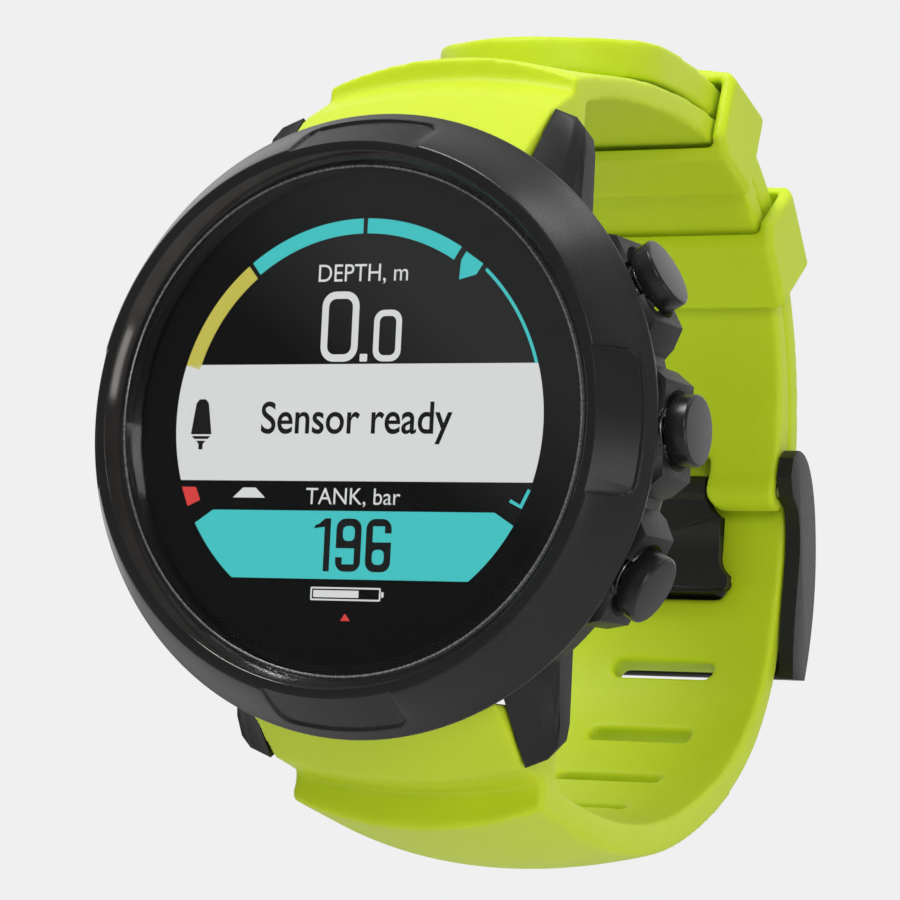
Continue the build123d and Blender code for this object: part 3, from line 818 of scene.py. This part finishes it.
    @staticmethod
    def cut_left(outer: Outline, notch: Outline) -> Outline:
        """Let a notch into the left side of an outline that runs anticlockwise.

        Args:
            outer: the outline.
            notch: the notch's points, from its upper to its lower end on the left side.

        Returns:
            The outline with the notch.
        """
        same_mm = 1e-6
        left = min(x for x, _ in outer)
        top, bottom = notch[0][1], notch[-1][1]
        kept: Outline = []
        for i, point in enumerate(outer):
            kept.append(point)
            follower = outer[(i + 1) % len(outer)]
            on_left = abs(point[0] - left) < same_mm and abs(follower[0] - left) < same_mm
            if on_left and point[1] > top > follower[1]:
                kept.append((left, top))
                kept.extend(notch[1:-1])
                kept.append((left, bottom))
        return kept


# ---------------------------------------------------------------- studio

@dataclass(frozen=True)
class SoftBox:
    """A rectangular studio light."""

    name: str
    place: tuple[float, float, float]
    aim: tuple[float, float, float]
    size: tuple[float, float]
    watts: float

    def build(self) -> None:
        """Hang the light."""
        data = bpy.data.lights.new(self.name, "AREA")
        data.shape = "RECTANGLE"
        data.size, data.size_y = self.size
        data.energy = self.watts
        lamp = bpy.data.objects.new(self.name, data)
        bpy.context.scene.collection.objects.link(lamp)
        lamp.location = self.place
        lamp.rotation_euler = (Vector(self.aim) - Vector(self.place)).to_track_quat("-Z", "Y").to_euler()


@dataclass
class Studio:
    """Camera, soft lights and a plain pale floor."""

    camera_place: tuple[float, float, float] = (0.15133, -0.30643, -0.03220)
    camera_right: tuple[float, float, float] = (0.90028, 0.43271, 0.04782)
    camera_up: tuple[float, float, float] = (-0.00332, -0.10303, 0.99468)
    lens_mm: float = 158.45
    backdrop: float = 0.87
    floor_drop: float = 0.25
    lights: tuple[SoftBox, ...] = (
        SoftBox("key_top_front", (-0.10, -0.26, 0.58), (0, 0, 0.01), (0.26, 0.20), 2.9),
        SoftBox("overhead", (0.25, 0.10, 0.55), (0, 0, 0.01), (0.16, 0.16), 0.35),
        SoftBox("side_right", (0.52, -0.16, -0.12), (0, 0, 0), (0.10, 0.22), 0.40),
        SoftBox("front_fill", (0.34, -0.50, 0.16), (0.01, 0.04, -0.01), (0.20, 0.20), 1.0),
        SoftBox("strip_left", (-0.50, 0.10, 0.16), (0, 0, 0), (0.03, 0.30), 0.08),
    )

    def build(self) -> None:
        """Set up the whole studio."""
        self.build_camera()
        self.build_world()
        self.build_floor()
        for light in self.lights:
            light.build()
        bpy.context.scene.view_settings.view_transform = "Standard"

    def build_camera(self) -> None:
        """Place the camera by its axes."""
        data = bpy.data.cameras.new("camera")
        data.lens = self.lens_mm
        data.sensor_width = 36.0
        data.clip_start = 0.01
        data.clip_end = 20.0
        camera = bpy.data.objects.new("camera", data)
        bpy.context.scene.collection.objects.link(camera)
        right, up = Vector(self.camera_right).normalized(), Vector(self.camera_up)
        up = (up - up.dot(right) * right).normalized()
        axes = Matrix((right, up, right.cross(up))).transposed()
        camera.matrix_world = Matrix.Translation(self.camera_place) @ axes.to_4x4()
        bpy.context.scene.camera = camera

    def build_world(self) -> None:
        """Even pale surroundings that are dimmer in front of the dial."""
        world = bpy.data.worlds.new("studio")
        world.use_nodes = True
        bpy.context.scene.world = world
        tree = world.node_tree
        background = tree.nodes["Background"]
        place = tree.nodes.new("ShaderNodeTexCoord")
        parts = tree.nodes.new("ShaderNodeSeparateXYZ")
        ramp = tree.nodes.new("ShaderNodeMapRange")
        ramp.interpolation_type = "SMOOTHSTEP"
        tree.links.new(place.outputs["Generated"], parts.inputs["Vector"])
        tree.links.new(parts.outputs["Y"], ramp.inputs["Value"])
        settings = {"From Min": -0.35, "From Max": 0.75, "To Min": 0.30, "To Max": self.backdrop}
        for key, value in settings.items():
            ramp.inputs[key].default_value = value
        tree.links.new(ramp.outputs["Result"], background.inputs["Strength"])
        background.inputs["Color"].default_value = (1, 1, 1, 1)

    def build_floor(self) -> None:
        """Plain pale floor below the strap."""
        deselect()
        low = CAD_BOX[0][2] - self.floor_drop
        bpy.ops.mesh.primitive_plane_add(size=12.0, location=(0, 0, low))
        floor = bpy.context.object
        floor.name = "floor"
        nodes = Nodes("pale_floor")
        nodes.drive("Base Color", nodes.tint(nodes.noise(900.0), (0.74, 0.74, 0.74), (0.76, 0.76, 0.76)))
        nodes.fix(Roughness=0.9, Specular_IOR_Level=0.0)
        floor.data.materials.append(nodes.material)


# ---------------------------------------------------------------- watch

def cut(piece: bpy.types.Object, tool: bpy.types.Object, keep_tool: bool = False) -> None:
    """Cut one solid out of another.

    Args:
        piece: the object that is cut.
        tool: the object that cuts it.
        keep_tool: leave the cutting object in the scene.
    """
    apply_modifier(piece, "BOOLEAN", object=tool, operation="DIFFERENCE", solver="EXACT")
    if not keep_tool:
        bpy.data.objects.remove(tool)


@dataclass
class Bezel:
    """Coated bezel with a polished inner wall and four shallow grip pads."""

    ring_outer: float = 23.55
    widest: float = 26.5
    widest_y: float = -11.2
    front_y: float = -16.5
    pad_half_length: float = 5.7
    pad_run: float = 3.9
    pad_depth: float = 0.28
    pad_corner: float = 1.2
    cutter_reach: float = 2.0
    cutter_height: float = 1.9
    cutter_sink: float = 1.4
    wall_lean: float = 0.5
    edge: float = 0.10
    pads: int = 4
    polished_radius: float = 22.5
    polished_y: float = -15.0
    body: str = "watch"

    def slope(self) -> float:
        """Angle of the sloped wall from the watch's centre line, in radians."""
        return math.atan2(self.widest - self.ring_outer, self.widest_y - self.front_y)

    def profile(self) -> list[tuple[float, float]]:
        """Closed section of the bezel as (radius, y) points, from the ring outwards."""
        return [
            (22.42, -16.40), (22.52, -16.50), (23.42, -16.46), (23.55, -16.36), (24.22, -15.28),
            (24.85, -14.18), (25.45, -13.12), (25.98, -12.16), (26.34, -11.58), (26.47, -11.38),
            (26.50, -11.20), (26.46, -11.02), (26.10, -10.42), (25.92, -10.24), (25.75, -10.20),
            (22.95, -10.20), (22.95, -12.90), (22.00, -12.90), (22.00, -15.00), (21.66, -15.05),
            (21.56, -15.16), (21.62, -15.30), (22.42, -16.40),
        ]

    def core(self) -> bpy.types.Object:
        """Solid that fills the bezel up to the floor of the pads."""
        low, high = self.front_y - self.cutter_reach, self.widest_y + self.cutter_reach
        beyond = self.cutter_reach * math.tan(self.slope())
        at_low = self.ring_outer - self.pad_depth - beyond
        at_high = self.widest - self.pad_depth + beyond
        return spun("bezel_core", [(0.0, low), (at_low, low), (at_high, high), (0.0, high)], FINE_STEPS)

    def pad_cutter(self) -> bpy.types.Object:
        """Shallow cutter for the pad at 3 o'clock, with leaning walls and two rounded corners."""
        deselect()
        bpy.ops.mesh.primitive_cube_add(size=1.0)
        block = bpy.context.object
        length = self.pad_run + self.cutter_reach
        block.scale = (self.cutter_height * MM, length * MM, 2 * self.pad_half_length * MM)
        apply_place(block)
        bpy.ops.object.mode_set(mode="EDIT")
        bpy.ops.mesh.select_mode(type="EDGE")
        bpy.ops.mesh.select_all(action="DESELECT")
        bpy.ops.object.mode_set(mode="OBJECT")
        for edge in block.data.edges:
            first, second = [block.data.vertices[i].co for i in edge.vertices]
            edge.select = first.y > 0 and second.y > 0 and abs(first.x - second.x) > 0.5 * MM
        bpy.ops.object.mode_set(mode="EDIT")
        bpy.ops.mesh.bevel(offset=self.pad_corner * MM, segments=6)
        bpy.ops.mesh.select_mode(type="FACE")
        bpy.ops.mesh.select_all(action="DESELECT")
        bpy.ops.object.mode_set(mode="OBJECT")
        for face in block.data.polygons:
            face.select = face.normal.x > 0.9
        bpy.ops.object.mode_set(mode="EDIT")
        spread = self.cutter_height * self.wall_lean
        bpy.ops.transform.resize(
            value=(1.0, 1.0 + 2 * spread / length, 1.0 + spread / self.pad_half_length),
            center_override=(0.5 * self.cutter_height * MM, 0.0, 0.0))
        bpy.ops.object.mode_set(mode="OBJECT")
        down = Vector((math.sin(self.slope()), math.cos(self.slope()), 0.0))
        outward = Vector((down.y, -down.x, 0.0))
        start = Vector((self.ring_outer, self.front_y, 0.0))
        depth_shift = 0.5 * self.cutter_height - self.cutter_sink
        place = start + down * (0.5 * (self.pad_run - self.cutter_reach)) + outward * depth_shift
        block.matrix_world = Matrix.Translation(place * MM) @ Matrix.Rotation(-self.slope(), 4, "Z")
        apply_place(block)
        cut(block, self.core())
        return block

    def build(self) -> bpy.types.Object:
        """Model and dress the bezel."""
        piece = spun("bezel_piece", self.profile(), FINE_STEPS)
        cutter = self.pad_cutter()
        for _ in range(self.pads):
            cut(piece, cutter, keep_tool=True)
            cutter.matrix_world = Matrix.Rotation(2 * math.pi / self.pads, 4, "Y")
            apply_place(cutter)
        bpy.data.objects.remove(cutter)
        close_up(piece, MERGE_MM)
        soften(piece, self.edge, 2, 20.0)
        shade(piece)
        piece.data.materials.append(material(Finish.COATING))
        piece.data.materials.append(material(Finish.POLISHED))
        for face in piece.data.polygons:
            radius = math.hypot(face.center.x, face.center.z)
            in_front = face.center.y < self.polished_y * MM
            face.material_index = int(radius < self.polished_radius * MM and in_front)
        return dress(piece, Finish.COATING, "bezel_steel", self.body, "bezel")


@dataclass
class WatchGlass:
    """Flat glass with a polished facet, the black mask printed behind its rim, and a grey ring at the rim
    as a painted highlight of the glass edge.
    """

    radius: float = 21.45
    facet: float = 0.95
    front_y: float = -15.2
    rim_y: float = -15.02
    mask_inner: float = 17.3
    mask_thickness: float = 0.015
    mask_gap: float = 0.006
    body: str = "watch"

    def build(self) -> None:
        """Model and dress the glass and its mask."""
        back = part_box("crystal")[1].y / MM
        flat = self.radius - self.facet
        profile = [(0.0, self.front_y), (flat - 0.03, self.front_y), (flat + 0.04, self.front_y + 0.01),
                   (self.radius - 0.04, self.rim_y), (self.radius, self.rim_y + 0.05), (self.radius, back),
                   (0.0, back)]
        glass = spun("crystal_piece", profile, FINE_STEPS)
        shade(glass, 8.0)
        dress(glass, Finish.GLASS, "glass", self.body, "crystal")
        near = back + self.mask_gap
        far = near + self.mask_thickness
        mask_radius = self.radius - 0.02
        # the mask carries the same painted reflection as the dark screen
        mask = spun("glass_mask", [(self.mask_inner, near), (mask_radius, near), (mask_radius, far),
                                   (self.mask_inner, far), (self.mask_inner, near)], 192)
        dress(mask, Finish.SCREEN_BLACK, "screen", self.body)
        # painted highlight: a thin grey metallic ring stands for the glint on the glass's bevel
        low, high = self.rim_y - 0.10, self.rim_y + 0.06
        inner, outer = self.radius - 0.16, self.radius + 0.08
        rim = spun("glass_rim", [(inner, high), (inner, low + 0.06), (inner + 0.06, low),
                                 (outer - 0.05, low + 0.03), (outer, high), (inner, high)], FINE_STEPS)
        shade(rim, 50.0)
        dress(rim, Finish.GROUND_EDGE, "glass", self.body)


CAD_FINISHES: dict[str, tuple[Finish, float]] = {
    "case_body": (Finish.COMPOSITE, 0.25),
    "buckle_frame": (Finish.BUCKLE, 0.4),
    "buckle_prong": (Finish.BUCKLE, 0.35),
    "pusher_upper": (Finish.COATING, 0.1),
    "pusher_middle": (Finish.COATING, 0.1),
    "pusher_lower": (Finish.COATING, 0.1),
}
CLEARANCES: dict[str, float] = {"buckle_prong": 0.08, "pusher_upper": 0.06, "pusher_middle": 0.06,
                                "pusher_lower": 0.06}
SILICONE_NODES: dict[str, tuple[float, int]] = {
    "strap_long": (0.36, 5),
    "strap_short": (0.34, 5),
    "keeper_upper": (0.26, 9),
    "keeper_lower": (0.26, 9),
}
SLOT_FINISHES: dict[str, Finish] = {
    "composite": Finish.COMPOSITE,
    "bezel_steel": Finish.COATING,
    "glass": Finish.GLASS,
    "seal_rubber": Finish.SEAL,
    "screen": Finish.SCREEN_BLACK,
    "frame_plastic": Finish.FRAME,
    "circuit": Finish.BOARD,
    "cell": Finish.CELL,
    "steel": Finish.STEEL,
    "black_steel": Finish.COATING,
    "brass": Finish.BRASS,
    "silicone": Finish.SILICONE,
}


def dress_cad_nodes() -> None:
    """Give each CAD node that stays its finish, by its material slot."""
    for name, node in frame["nodes"].items():
        node.data.materials.clear()
        node.data.materials.append(material(SLOT_FINISHES[slot_of_node(name)]))


def refine_cad_nodes() -> None:
    """Replace the visible CAD nodes by copies with rounded edges."""
    for name, (finish, width) in CAD_FINISHES.items():
        piece = refined_copy(name, width, CLEARANCES.get(name, 0.0))
        dress(piece, finish, slot_of_node(name), body_of_node(name), name)
    for name, (voxel, rounds) in SILICONE_NODES.items():
        piece = moulded_copy(name, voxel, rounds)
        dress(piece, Finish.SILICONE, slot_of_node(name), body_of_node(name), name)


def main() -> None:
    """Build the studio and the watch."""
    logging.basicConfig(level=logging.INFO, format="%(message)s")
    Studio().build()
    dress_cad_nodes()
    refine_cad_nodes()
    Bezel().build()
    WatchGlass().build()
    ScreenGraphics().build()


if __name__ == "__main__":
    main()
